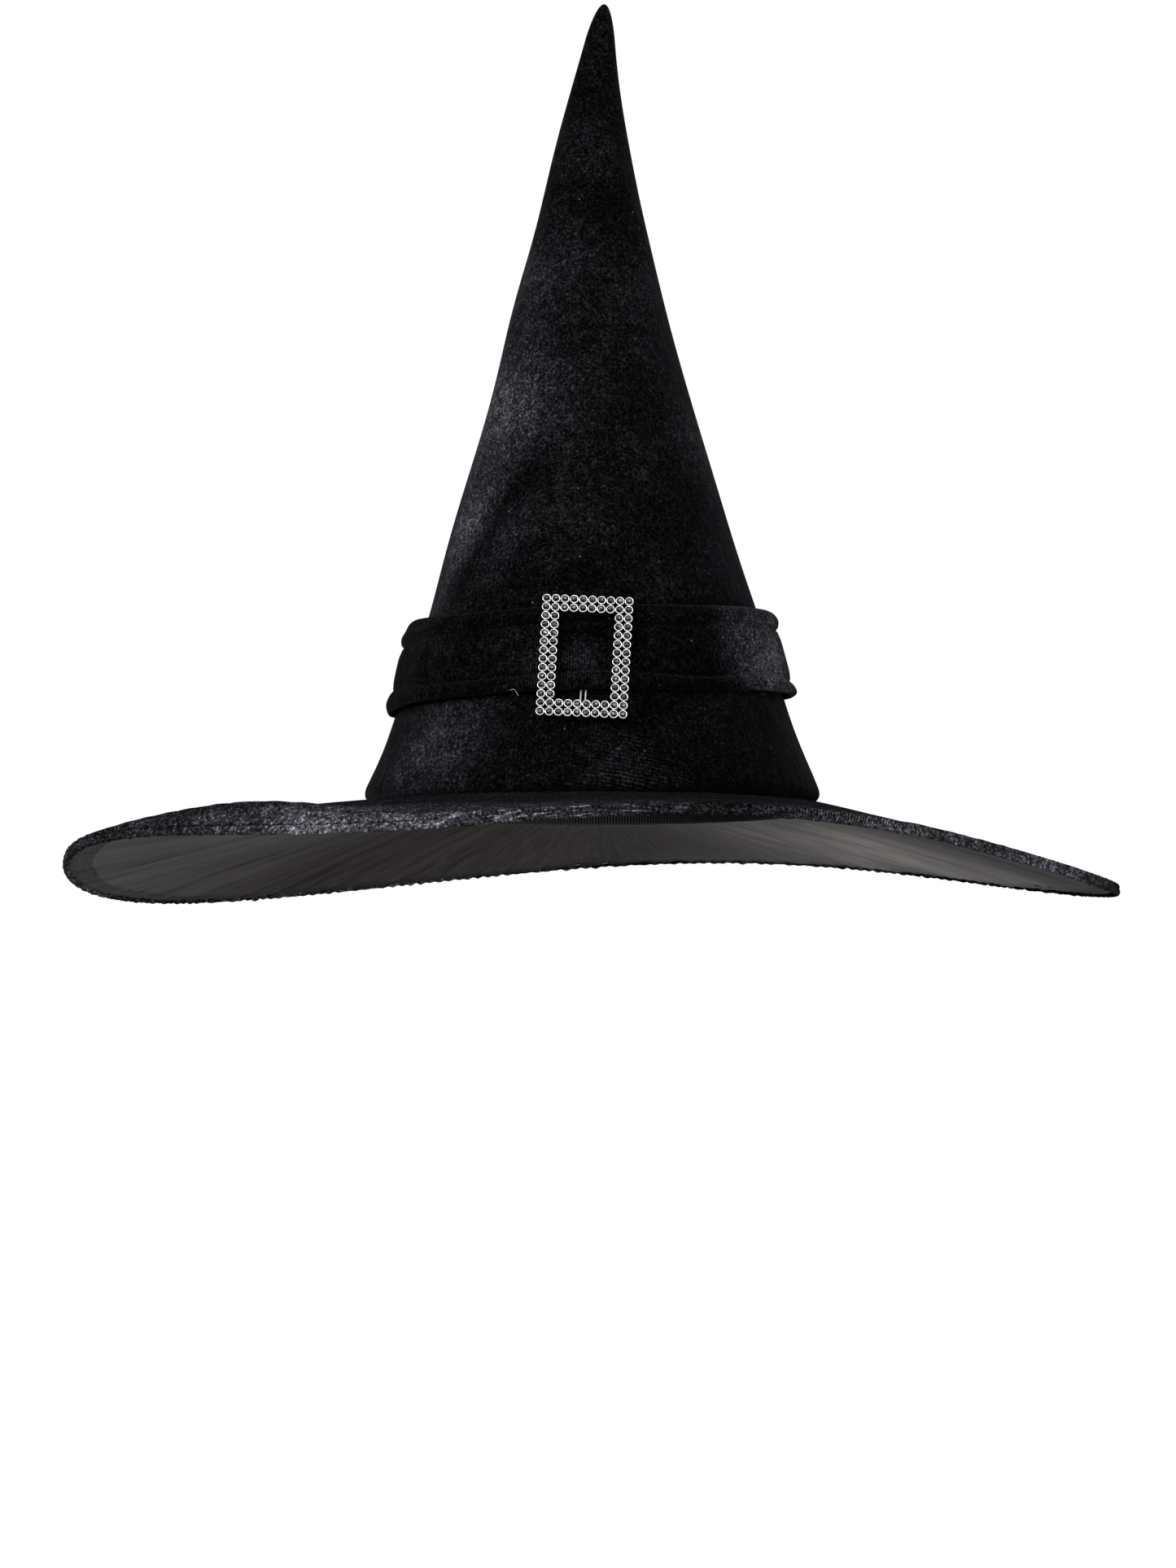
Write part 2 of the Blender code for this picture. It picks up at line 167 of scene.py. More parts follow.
CREASE_FULL = 0.4  # and the share of that reach where it starts to
CROWN_RIBBED = ((0.000, -0.050, 0.200, 0.110, 1.0),)
CROWN_LADDERED = ((0.018, -0.102, 0.046, 0.040, 2.2),)
# Brim: painted light on the rolled edge in front, at the sides and behind, painted shade on the front top
# right (the negative spot), with lighter nap
BRIM_LIT_SHADED_AND_CRUSHED = (
    (-0.085, -0.225, 0.022, 0.080, 11.5), (-0.155, -0.185, 0.022, 0.090, 3.4),
    (-0.235, 0.010, 0.018, 0.130, 9.0), (0.005, -0.242, 0.025, 0.060, 1.6),
    (0.190, -0.150, 0.020, 0.130, 9.0), (0.060, -0.160, 0.036, 0.120, -1.5),
    (-0.120, 0.200, 0.008, 0.150, 6.0), (0.130, 0.200, 0.008, 0.150, 6.0),
)
BRIM_RIBBED = ((0.110, -0.220, 0.020, 0.070, 2.4),)
# Painted sheen: long bright hairs along the front of the edge
BRIM_SHEEN_STREAKS = ((-0.010, -0.241, 0.022, 0.110, 1.6), (-0.130, -0.205, 0.022, 0.060, 0.8))
# Band: painted sheen on its right end and a painted highlight on the band in the buckle's window
BAND_PAINTED_SHEEN = ((0.080, -0.040, 0.108, 0.046, 11.0), (-0.004, -0.090, 0.104, 0.013, 1.2))
BAND_RIBBED = ((-0.020, -0.087, 0.100, 0.045, 1.8),)

# Painted shade, brownish, over the rear of the lining, and painted light on its right side
LINING_PAINTED_SHADE = ((-0.060, 0.170, 0.020, 0.200, 1.7),)
LINING_SHADE_TONE = (0.0230, 0.0168, 0.0160, 1.0)
LINING_PAINTED_LIGHT = ((0.150, 0.110, 0.020, 0.130, 3.3),)


# ---- Shape of the hat ----
def crown_radius(height):
    """Outside of the crown's cover, for an array of heights over the seam."""
    height = np.maximum(height, 0.0)
    radius = CONE_RADIUS * np.maximum(1 - height / CONE_APEX, 0.0) ** CONE_HOLLOW
    radius = radius + FLARE * np.exp(-((height / FLARE_HEIGHT) ** 2))
    into_corner = np.maximum(BASE_ROUND - height, 0.0)
    radius = radius - (BASE_ROUND - np.sqrt(BASE_ROUND**2 - into_corner**2))
    from_top = np.maximum(CROWN_HEIGHT - height, 0.0)
    return np.where(from_top < TIP_DOME, np.sqrt(TIP_BLUNT * from_top), radius)


def tip_lean(height):
    share = np.maximum(height - LEAN_START, 0.0) / (CROWN_HEIGHT - LEAN_START)
    return TIP_LEAN * share**2


def edge_depth(azimuth):
    waves = sum(size * np.cos(count * (azimuth - radians(crest))) for count, size, crest in DROOP_WAVES)
    return EDGE_DROOP - waves


def from_curl(azimuth):
    """Angle from the middle of the edge's curl, in degrees, either way."""
    return (np.degrees(azimuth) - CURL_AZIMUTH + 180) % 360 - 180


def brim_height(radius, azimuth):
    """Top of the brim against the seam plane."""
    share = np.maximum(radius - FLAT_RADIUS, 0.0) / (BRIM_RADIUS - FLAT_RADIUS)
    drop = (edge_depth(azimuth) - HEM_DEPTH) * share**1.1
    off_curl = from_curl(azimuth)
    inside_edge = np.maximum((BRIM_RADIUS - radius) / CURL_WIDTH, 0.0)
    ridge = inside_edge * np.exp(1 - inside_edge)
    return CURL_HEIGHT * np.exp(-((off_curl / CURL_SPREAD) ** 2)) * ridge * share - drop


def band_rise(azimuth):
    return BAND_SIDE_TILT * np.cos(azimuth) + BAND_SADDLE * np.cos(2 * azimuth)


def round_columns(count, extra=()):
    """Azimuths in radians, from the seam behind all the way round, closer together near the seam."""
    even = np.linspace(0, 360, count, endpoint=False)
    near_seam = [side % 360 for offset in extra for side in (offset, -offset)]
    return np.radians(SEAM_AZIMUTH + np.unique(np.concatenate((even, near_seam))))


def closed(values):
    return np.append(values, values[0])


def whole_turn(azimuths):
    """A row of azimuths from the seam back to the seam."""
    return np.append(azimuths, azimuths[0] + 2 * pi)[None, :]


def round_points(radius, azimuth, height):
    return np.stack((radius * np.cos(azimuth), radius * np.sin(azimuth), height), -1)


def waves(turn, along, seed, turns, lengths, count=14):
    """Smooth random relief of about -1 to 1, from waves that close round the hat."""
    random = np.random.default_rng(seed)
    total = 0.0
    for _ in range(count):
        around = random.integers(*turns)
        rate = random.choice((-1, 1)) * 2 * pi / random.uniform(*lengths)
        total = total + np.cos(around * turn + rate * along + random.uniform(0, 2 * pi))
    return total / sqrt(count)


def bump_at(value, centre, width):
    """A smooth bump of height 1."""
    return np.exp(-(((value - centre) / width) ** 2))


def from_seam(azimuth):
    """Angle from the seam behind, in radians, either way."""
    return (azimuth - radians(SEAM_AZIMUTH) + pi) % (2 * pi) - pi


def flat_foam(azimuth, along, *rest):
    """Foam has no relief of its own."""
    return 0.0 * azimuth * along


# ---- Mesh tools ----
def add_object(name, data):
    made = bpy.data.objects.new(name, data)
    bpy.context.scene.collection.objects.link(made)
    return made


def finish_piece(data, name, material, body, replaced=()):
    """Makes a mesh or a curve a piece that rides on a body and stands for CAD nodes."""
    data.materials.append(material)
    piece = add_object(name, data)
    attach(piece, body)
    if replaced:
        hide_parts(*replaced)
    return piece


def cloth(name, points, pattern, material, replaced=()):
    """A closed skin from points[row, column], with its cutting pattern as the UV map."""
    rows, columns = points.shape[:2]
    index = np.arange(rows * columns).reshape(rows, columns)
    right = np.roll(index, -1, 1)
    after = np.roll(index, -1, 0)
    faces = np.stack((index, right, np.roll(after, -1, 1), after), -1).reshape(-1, 4)
    mesh = bpy.data.meshes.new(name)
    mesh.from_pydata(points.reshape(-1, 3).tolist(), [], faces.tolist())
    corners = (pattern[:-1, :-1], pattern[:-1, 1:], pattern[1:, 1:], pattern[1:, :-1])
    mesh.uv_layers.new(name="pattern").data.foreach_set("uv", np.stack(corners, 2).ravel())
    build = bmesh.new()
    build.from_mesh(mesh)
    bmesh.ops.remove_doubles(build, verts=build.verts[:], dist=1e-7)
    bmesh.ops.recalc_face_normals(build, faces=build.faces[:])
    build.to_mesh(mesh)
    build.free()
    mesh.shade_smooth()
    return finish_piece(mesh, name, material, "root", replaced)


def outward(radii, heights):
    """Unit normals (radial, vertical) of a closed profile that runs up its outside."""
    along_radius = np.roll(radii, -1) - np.roll(radii, 1)
    along_height = np.roll(heights, -1) - np.roll(heights, 1)
    length = np.maximum(np.hypot(along_radius, along_height), 1e-9)
    return along_height / length, -along_radius / length


def distance_along(radii, heights):
    """Distance along a profile to each of its points."""
    steps = np.hypot(np.diff(radii), np.diff(heights))
    return np.concatenate(([0.0], np.cumsum(steps)))


def many(name, vertices, faces, places, material, body, slot, replaced=(), smooth=True):
    """Copies of one small closed shape, at a list of 4x4 matrices, as one piece."""
    places = np.array(places)
    vertices = np.array(vertices)
    moved = np.einsum("nij,vj->nvi", places[:, :3, :3], vertices) + places[:, None, :3, 3]
    offsets = np.arange(len(places))[:, None] * len(vertices)
    mesh = bpy.data.meshes.new(name)
    all_faces = [[corner + offset for corner in face] for (offset,) in offsets.tolist() for face in faces]
    mesh.from_pydata(moved.reshape(-1, 3).tolist(), [], all_faces)
    if smooth:
        mesh.shade_smooth()
    return finish_piece(mesh, name, material, body, replaced)


def lathe(profile, sides, phase=0.0):
    """Vertices and faces of a closed shape turned about Y; (radius, depth) points from axis to axis."""
    vertices, rings = [], []
    for radius, depth in profile:
        if radius == 0:
            rings.append([len(vertices)] * sides)
            vertices.append((0.0, -depth, 0.0))
            continue
        rings.append(list(range(len(vertices), len(vertices) + sides)))
        for side in range(sides):
            turn = 2 * pi * (side + phase) / sides
            vertices.append((radius * cos(turn), -depth, radius * sin(turn)))
    faces = []
    for low, high in zip(rings, rings[1:]):
        for side in range(sides):
            after = (side + 1) % sides
            face = [low[side], low[after], high[after], high[side]]
            faces.append([corner for i, corner in enumerate(face) if corner not in face[:i]])
    return vertices, faces


def new_wire(name, radius, resolution=3):
    """A curve of round wire with closed ends, still without strands."""
    curve = bpy.data.curves.new(name, "CURVE")
    curve.dimensions = "3D"
    curve.bevel_depth = radius
    curve.bevel_resolution = resolution
    curve.use_fill_caps = True
    return curve


def add_strand(curve, places):
    """A strand of the wire, straight from each place to the next."""
    spline = curve.splines.new("POLY")
    spline.points.add(len(places) - 1)
    for point, place in zip(spline.points, places):
        point.co = (*place, 1.0)


def aligned(place, along, out):
    """A matrix at a point with X along one direction and Z as near as can be to another."""
    x_axis = Vector(along).normalized()
    y_axis = Vector(out).cross(x_axis).normalized()
    z_axis = x_axis.cross(y_axis)
    turn = Matrix((x_axis, y_axis, z_axis)).transposed().to_4x4()
    return Matrix.Translation(place) @ turn


def stitch_row(name, line, out, material):
    """Stitches round the brim along line(azimuth), which stand out along out(azimuth)."""
    rings = ((-0.5, 0.0), (-0.42, 0.75), (-0.2, 1.0), (0.2, 1.0), (0.42, 0.75), (0.5, 0.0))
    stitch = lathe([(THREAD_RADIUS * size, STITCH_LENGTH * along) for along, size in rings], 6)
    lengthwise = Matrix.Rotation(pi / 2, 4, "Z")
    count = round(2 * pi * BRIM_RADIUS / STITCH_PITCH)
    places = []
    for azimuth in np.radians(SEAM_AZIMUTH) + np.arange(count) * 2 * pi / count:
        here, ahead = Vector(line(azimuth)), Vector(line(azimuth + 0.002))
        places.append(aligned(here, ahead - here, out(azimuth)) @ lengthwise)
    return many(name, *stitch, places, material, "root", "thread")


# ---- Materials ----
def new_finish(name, **values):
    """A material, with what is the same all over it set on the shader's own sockets."""
    material = bpy.data.materials.new(name)
    material.use_nodes = True
    shader = material.node_tree.nodes["Principled BSDF"]
    for socket, value in values.items():
        shader.inputs[socket.replace("_", " ")].default_value = value
    return material, shader


def source(material, kind, output=0, **settings):
    """An output of a new node that needs no inputs."""
    node = material.node_tree.nodes.new("ShaderNode" + kind)
    for setting, value in settings.items():
        setattr(node, setting, value)
    return node.outputs[output]


def add(kind, inputs, **settings):
    """Adds a node to the tree of the outputs that feed it, with its inputs linked or set."""
    tree = next(value.id_data for value in inputs.values() if isinstance(value, bpy.types.NodeSocket))
    node = tree.nodes.new("ShaderNode" + kind)
    for setting, value in settings.items():
        setattr(node, setting, value)
    for socket, value in inputs.items():
        if isinstance(value, bpy.types.NodeSocket):
            tree.links.new(value, node.inputs[socket])
        else:
            node.inputs[socket].default_value = value
    return node


def noise(coordinates, scale, detail=2.0, roughness=0.5):
    inputs = {"Vector": coordinates, "Scale": scale, "Detail": detail, "Roughness": roughness}
    return add("TexNoise", inputs).outputs[0]


def bands(coordinates, pitch, distortion=0.0):
    """Lines across X at a pitch in metres."""
    inputs = {"Vector": coordinates, "Scale": pi / 10 / pitch, "Distortion": distortion, "Detail": 1.0}
    return add("TexWave", inputs).outputs["Fac"]


def mapped(coordinates, **change):
    """Coordinates under a Scale or a Rotation."""
    return add("Mapping", {"Vector": coordinates, **change}).outputs[0]


def ramp(factor, *stops):
    """Colours between (position, colour) stops."""
    node = add("ValToRGB", {"Fac": factor})
    elements = node.color_ramp.elements
    while len(elements) < len(stops):
        elements.new(0.5)
    for element, (position, colour) in zip(elements, stops):
        element.position = position
        element.color = (*colour, 1.0)
    return node.outputs[0]


def greys(factor, *stops):
    """Greys between (position, brightness) stops."""
    return ramp(factor, *((position, (grey,) * 3) for position, grey in stops))


def maths(operation, first, second, third=0.0):
    return add("Math", {0: first, 1: second, 2: third}, operation=operation).outputs[0]


def weighted(*layers):
    """Sum of (value, weight) layers."""
    total = maths("MULTIPLY", *layers[0])
    for value, weight in layers[1:]:
        total = maths("MULTIPLY_ADD", value, weight, total)
    return total


def vectors(operation, first, second=(0.0, 0.0, 0.0)):
    """Outputs of a vector sum: "Vector" or "Value"."""
    return add("VectorMath", {0: first, 1: second}, operation=operation).outputs


def between(value, start, end, low=0.0, high=1.0, kind="LINEAR"):
    """A number that goes from low to high as a value goes from start to end."""
    inputs = {"Value": value, "From Min": start, "From Max": end, "To Min": low, "To Max": high}
    return add("MapRange", inputs, interpolation_type=kind).outputs[0]


def blended(factor, first, second):
    inputs = {"Factor": factor, "A": first, "B": second}
    return add("Mix", inputs, data_type="RGBA").outputs["Result"]


def scaled(colour, gain):
    return add("VectorMath", {0: colour, "Scale": gain}, operation="SCALE").outputs[0]


def on_pattern(material):
    """Coordinates on the cloth's cutting pattern."""
    return source(material, "UVMap", uv_map="pattern")


def in_place(material):
    """Coordinates on the piece itself."""
    return source(material, "TexCoord", "Object")


def relief(*layers):
    """Stacks (height, depth in metres) layers of bump and returns the normal."""
    normal = None
    for height, depth in layers:
        inputs = {"Height": height, "Distance": depth, "Strength": 1.0}
        if normal is not None:
            inputs["Normal"] = normal
        normal = add("Bump", inputs).outputs[0]
    return normal


def dress(shader, **outputs):
    """Leads outputs of the pattern nodes to the shader's sockets."""
    for socket, output in outputs.items():
        shader.id_data.links.new(output, shader.inputs[socket.replace("_", " ")])


def near(place, spots):
    """How close a place is to any of the (x, y, z, reach, weight) spots, weighted and summed."""
    total = 0.0
    for x, y, z, reach, weight in spots:
        offset = vectors("DISTANCE", place, (x, y, z))["Value"]
        falloff = between(offset, reach, 0.0, high=weight, kind="SMOOTHSTEP")
        total = maths("ADD", falloff, total)
    return total


def painted_crease_shade(place, start, end, width, shade):
    """Painted shade of a crease: 1 away from the line between two points, and darker by a share along it."""
    start, end = Vector(start), Vector(end)
    along = (end - start).normalized()
    reach = CREASE_REACH * (end - start).length
    offset = vectors("SUBTRACT", place, (start + end) / 2)["Vector"]
    sideways = vectors("CROSS_PRODUCT", offset, along)["Vector"]
    aside = vectors("LENGTH", sideways)["Value"]
    length = vectors("LENGTH", offset)["Value"]
    dark = between(aside, width, 0.0, high=shade, kind="SMOOTHSTEP")
    fade = between(length, reach, reach * CREASE_FULL, kind="SMOOTHSTEP")
    return maths("SUBTRACT", 1.0, maths("MULTIPLY", dark, fade))


def velour(
    name, shade, sheen, lit_and_crushed, ribbed, laddered=(), sheen_streaked=(), crease=None, painted_top_shade=1.0, nap=1.0
):
    """Knitted pile: patches of pressed nap, fine grain, lint, and ribs where the cloth is stretched, with
    spots of painted light and shade.

    Laddered spots show the knit's cross rows, and the streak spots painted sheen as long bright hairs.
    Inside the brim's edge the colour can take painted shade, darker than the rolled edge, and the
    grain can be drawn out along Y.
    """
    material, shader = new_finish(
        name, Specular_IOR_Level=0.0,
        Sheen_Weight=sheen, Sheen_Roughness=0.42, Sheen_Tint=(0.72, 0.70, 0.80, 1.0),
    )
    pattern = on_pattern(material)
    place = in_place(material)
    patches = noise(pattern, 26, 3.0, 0.55)
    crush = noise(pattern, 170, 3.0, 0.65)
    grain = noise(mapped(place, Scale=(1.0, nap, 1.0)), 760, 2.0, 0.85)
    wales = bands(mapped(pattern, Scale=(1.0, 0.2, 1.0)), 0.00125, 0.4)
    courses = bands(mapped(pattern, Rotation=(0, 0, 1.72)), 0.0018, 0.8)
    shown_wales, shown_courses = near(place, ribbed), near(place, laddered)
    knit = weighted((wales, shown_wales), (courses, shown_courses))
    # Painted sheen: long bright hairs where the streak spots lie
    streaks = noise(mapped(pattern, Scale=(0.10, 1.0, 1.0)), 900, 1.0)
    streaks = greys(streaks, (0.54, 0.0), (0.66, 1.0))
    streaks = maths("MULTIPLY", streaks, near(place, sheen_streaked))
    lit = weighted((patches, 0.18), (crush, 0.20), (grain, 0.62), (knit, 0.05), (streaks, 0.09))
    colour = ramp(
        lit,
        (0.38, (0.0003, 0.0003, 0.0004)), (0.50, (0.0028, 0.0027, 0.0032)),
        (0.60, (0.014, 0.0137, 0.0160)), (0.74, (0.080, 0.079, 0.090)),
    )
    # Painted light and shade from the spots, over lighter pressed nap, added to the part's gain
    gain = maths("ADD", near(place, lit_and_crushed), shade)
    # Painted shade along the crown's crease
    if crease:
        gain = maths("MULTIPLY", gain, painted_crease_shade(place, *crease))
    # Painted shade: inside the brim's rolled edge the colour drops to the top's share
    reach = vectors("LENGTH", pattern)["Value"]
    inside_edge = between(reach, BRIM_RADIUS - 0.006, BRIM_RADIUS - 0.001, low=painted_top_shade)
    colour = scaled(colour, maths("MULTIPLY", gain, inside_edge))
    specks = add("TexVoronoi", {"Vector": place, "Scale": 75}).outputs["Distance"]
    lint = maths("LESS_THAN", specks, 0.035)
    colour = blended(lint, colour, (0.10, 0.10, 0.105, 1.0))
    roughness = greys(crush, (0.3, 0.80), (0.7, 1.0))
    normal = relief((patches, 0.003), (crush, 0.0006), (grain, 0.0004), (wales, 0.00004))
    dress(shader, Base_Color=colour, Roughness=roughness, Normal=normal)
    return material


def satin_lining():
    """Charcoal lining cloth: streaks that run out from the opening, a darker hem and a fine weave, with
    painted brownish shade behind and painted light on the right.
    """
    material, shader = new_finish("satin_lining", Specular_IOR_Level=0.06)
    pattern = on_pattern(material)
    place = in_place(material)
    streaks = noise(mapped(pattern, Scale=(1.0, 0.05, 1.0)), 480, 3.0, 0.6)
    folds = noise(mapped(pattern, Scale=(1.0, 0.10, 1.0)), 85, 2.0)
    shade = noise(place, 16, 2.0)
    weave = bands(place, 0.0007, 1.5)
    mixed = weighted((shade, 0.2), (streaks, 0.45), (folds, 0.35))
    colour = ramp(mixed, (0.36, (0.0440, 0.0410, 0.0400)), (0.62, (0.1220, 0.1140, 0.1110)))
    # Painted shade: a darker brownish tone over the rear of the lining
    colour = blended(near(place, LINING_PAINTED_SHADE), colour, LINING_SHADE_TONE)
    level = vectors("MULTIPLY", place, (1.0, 1.0, 0.0))["Vector"]
    reach = vectors("LENGTH", level)["Value"]
    stitched = BRIM_RADIUS - HEM_STITCH
    hem_shade = between(reach, stitched - 0.001, stitched, low=1.0, high=0.72)
    # Painted light: the lining's right side is made lighter
    gain = maths("ADD", near(place, LINING_PAINTED_LIGHT), 1.0)
    colour = scaled(colour, maths("MULTIPLY", gain, hem_shade))
    roughness = greys(streaks, (0.2, 0.42), (0.8, 0.62))
    normal = relief((folds, 0.0025), (streaks, 0.0006), (weave, 0.00004))
    dress(shader, Base_Color=colour, Roughness=roughness, Normal=normal)
    return material


def foam_sheet():
    """Dark felted foam with open cells."""
    material, shader = new_finish("foam_sheet", Specular_IOR_Level=0.15, Roughness=0.97)
    place = in_place(material)
    cells = add("TexVoronoi", {"Vector": place, "Scale": 650}).outputs["Distance"]
    soil = noise(place, 30, 3.0)
    colour = ramp(soil, (0.3, (0.032, 0.032, 0.036)), (0.7, (0.062, 0.062, 0.066)))
    dress(shader, Base_Color=colour, Normal=relief((cells, 0.0005)))
    return material


def grosgrain():
    """Ribbed black ribbon."""
    material, shader = new_finish("grosgrain", Specular_IOR_Level=0.3, Sheen_Weight=0.2)
    pattern = on_pattern(material)
    ribs = bands(pattern, 0.0014)
    wear = noise(pattern, 60, 3.0)
    mixed = weighted((wear, 0.5), (ribs, 0.5))
    colour = greys(mixed, (0.2, 0.008), (0.9, 0.034))
    roughness = greys(wear, (0.2, 0.6), (0.8, 0.85))
    normal = relief((ribs, 0.0004), (wear, 0.0004))
    dress(shader, Base_Color=colour, Roughness=roughness, Normal=normal)
    return material


def thread(name, dark, light):
    """Twisted sewing thread."""
    material, shader = new_finish(name, Specular_IOR_Level=0.35, Roughness=0.7)
    place = in_place(material)
    twist = bands(mapped(place, Rotation=(0.6, 0.5, 0.7)), 0.0005, 0.5)
    colour = ramp(twist, (0.2, dark), (0.8, light))
    dress(shader, Base_Color=colour, Normal=relief((twist, 0.0001)))
    return material


def plated_metal(name, dullest, brightest, metallic):
    """Bright plating, a little uneven and dulled in places."""
    material, shader = new_finish(name, Metallic=metallic)
    place = in_place(material)
    cloud = noise(place, 900, 3.0)
    colour = ramp(cloud, (0.3, (0.86, 0.86, 0.87)), (0.6, (1.0, 1.0, 1.0)))
    roughness = greys(cloud, (0.3, dullest), (0.7, brightest))
    normal = relief((cloud, 0.00008))
    dress(shader, Base_Color=colour, Roughness=roughness, Normal=normal)
    return material


def foiled_crystal():
    """Clear cut stone with a mirror foil behind it."""
    material, shader = new_finish(
        "foiled_crystal", Metallic=0.9, Coat_Weight=0.5, Coat_Roughness=0.02, Coat_IOR=1.5,
    )
    place = in_place(material)
    spark = noise(place, 520, 1.0)
    colour = ramp(spark, (0.50, (0.001, 0.001, 0.002)), (0.78, (0.20, 0.21, 0.23)))
    dress(shader, Base_Color=colour, Roughness=greys(spark, (0.3, 0.03), (0.7, 0.12)))
    return material


def spring_steel():
    """Drawn wire with fine length marks."""
    material, shader = new_finish("spring_steel", Metallic=1.0)
    place = in_place(material)
    marks = noise(place, 1500, 3.0)
    colour = greys(marks, (0.3, 0.30), (0.7, 0.55))
    dress(shader, Base_Color=colour, Roughness=greys(marks, (0.3, 0.45), (0.7, 0.25)))
    return material


# ---- Crown ----
def crown_profile(outside, thick, top, outer_rows, inner_rows):
    """Closed profile of a crown layer: radii, heights, and how many rows are its outside."""
    share = np.linspace(0, 1, outer_rows)
    rise = CLOTH_FOOT + (top - CLOTH_FOOT) * (0.15 * share**2 + 0.85 * share)
    if top == CROWN_HEIGHT:
        tip = top - TIP_DOME * np.linspace(1, 0, 12) ** 2
        rise = np.concatenate((rise[rise < top - TIP_DOME], tip))
    radii = crown_radius(rise) - outside
    radii[-1] = 0.0
    fall = np.linspace(top - 3 * thick, CLOTH_FOOT, inner_rows)
    inner_radii = np.maximum(crown_radius(fall) - outside - thick, 0.0)
    inner_radii[0] = 0.0
    return np.concatenate((radii, inner_radii)), np.concatenate((rise, fall)), len(rise)


def sector_pattern(heights, azimuths):
    """The cone laid out flat, with its grain up the front."""
    slant = CROWN_HEIGHT - heights + (1 - heights / CROWN_HEIGHT) * (CONE_RADIUS * 0.13)
    slant = closed(slant)[:, None]
    spread = (whole_turn(azimuths) - radians(FRONT_AZIMUTH)) * CONE_RADIUS / CROWN_HEIGHT
    return np.stack((slant * np.sin(spread), -slant * np.cos(spread)), -1)


def crown_layer(name, profile, relief_at, columns, material, replaced):
    radii, heights, outer_rows = profile
    out, up = outward(radii, heights)
    azimuths = columns[None, :]
    radii, heights, out, up = (values[:, None] for values in (radii, heights, out, up))
    raised = relief_at(azimuths, heights)
    raised[outer_rows:] = 0.0
    raised[outer_rows - 1] = raised[outer_rows - 1].mean()
    radius = radii + out * raised
    height = heights + up * raised
    points = round_points(radius, azimuths, height + SEAM_HEIGHT)
    points[..., 0] += tip_lean(height) + cone_bow(height)
    pattern = sector_pattern(heights[:, 0], columns)
    return cloth(name, points, pattern, material, replaced)


def cone_bow(height):
    """The cone's side is a little bowed: to one side low down, to the other half way up."""
    foot = 0.0011 * bump_at(height, 0.018, 0.022)
    return foot + 0.0010 * bump_at(height, 0.080, 0.030) - 0.0009 * bump_at(height, 0.229, 0.035)


def crown_relief(azimuth, height):
    """Soft dents, short gathers over the brim's seam, and the sewn join behind."""
    fade_tip = np.clip((CROWN_HEIGHT - height) / 0.10, 0.0, 1.0)
    soft = 0.00032 * waves(azimuth, height, 3, (1, 7), (0.07, 0.20)) * fade_tip
    gathers = 0.00022 * waves(azimuth, height, 5, (60, 110), (0.05, 0.10)) * bump_at(height, 0.0, 0.014)
    around = from_seam(azimuth) * crown_radius(height)
    groove = 0.0004 * bump_at(abs(around), 0.0032, 0.0018) - 0.0009 * bump_at(around, 0.0, 0.0011)
    puckers = 0.00025 * np.sin(2 * pi * height / 0.0065) * bump_at(around, 0.0, 0.006)
    return (soft + gathers + (groove + puckers) * fade_tip) * np.minimum(height / 0.002, 1.0)


def crown(materials):
    columns = round_columns(300, (0.25, 0.5, 0.75, 1.05, 1.5, 2.1, 2.8))
    cover = crown_layer(
        "crown_velour", crown_profile(0.0, COVER_THICK, CROWN_HEIGHT, 240, 24), crown_relief,
        columns, materials["crown"], ("crown_cover",),
    )
    outside = COVER_THICK + LAYER_GAP
    foam = crown_layer(
        "crown_foam_sheet", crown_profile(outside, FOAM_THICK, FOAM_TOP, 60, 60), flat_foam,
        round_columns(160), materials["foam"], ("crown_foam",),
    )


# ---- Brim ----
def edge_pinch(azimuth):
    """How far the edge is pressed thin: 0 where it curls full at the front left, 1 elsewhere."""
    off_curl = from_curl(azimuth)
    return 1 - np.exp(-((off_curl / PRESS_SPREAD) ** 4))


def brim_points(radii, depths, relief_at, columns):
    """Points of a brim layer from its flat profile, with relief along its normals."""
    out, up = outward(radii, -depths)
    azimuths = columns[None, :]
    radii, depths, out, up = (values[:, None] for values in (radii, depths, out, up))
    raised = relief_at(azimuths, radii, depths)
    radius = radii + out * raised
    near_edge = np.clip((radii - BRIM_RADIUS + PRESS_WIDTH) / 0.004, 0.0, 1.0)
    pressed = EDGE_PRESS * edge_pinch(azimuths) * near_edge
    height = brim_height(radius, azimuths) - depths * (1 - pressed) + up * raised + SEAM_HEIGHT
    return round_points(radius, azimuths, height)


def disc_pattern(radii, depths, columns):
    """The brim laid out flat, with its grain from front to back."""
    reach = OPENING_RADIUS + distance_along(closed(radii), closed(depths))
    turn, reach = whole_turn(columns), reach[:, None]
    return np.stack((reach * np.cos(turn), reach * np.sin(turn)), -1)


def ring_pattern(radii, depths, columns):
    """Distance round the ring, at its middle, against distance across it."""
    across = distance_along(closed(radii), closed(depths))
    return np.stack(np.broadcast_arrays(whole_turn(columns) * RING_RADIUS, across[:, None]), -1)


def lip_profile():
    """The edge: a roll over the crease, and a fuller one under it that holds the wire."""
    turn = np.linspace(0, 1, 11)
    upper_depth = LIP_GROOVE * turn
    upper_out = LIP_OUT * 0.8 * np.sin(pi * turn) ** 0.7
    turn = np.linspace(0, 1, 14)[1:]
    lower_depth = LIP_GROOVE + (LIP_BOTTOM - LIP_GROOVE) * (1 - np.cos(pi * turn * 0.93)) / 1.98
    lower_out = LIP_OUT * np.sin(pi * turn) ** 0.6
    lower_out -= 0.0004 * np.maximum(turn - 0.85, 0.0) / 0.15
    radii = BRIM_RADIUS - LIP_FOOT + np.concatenate((upper_out, lower_out))
    return radii, np.concatenate((upper_depth, lower_depth))


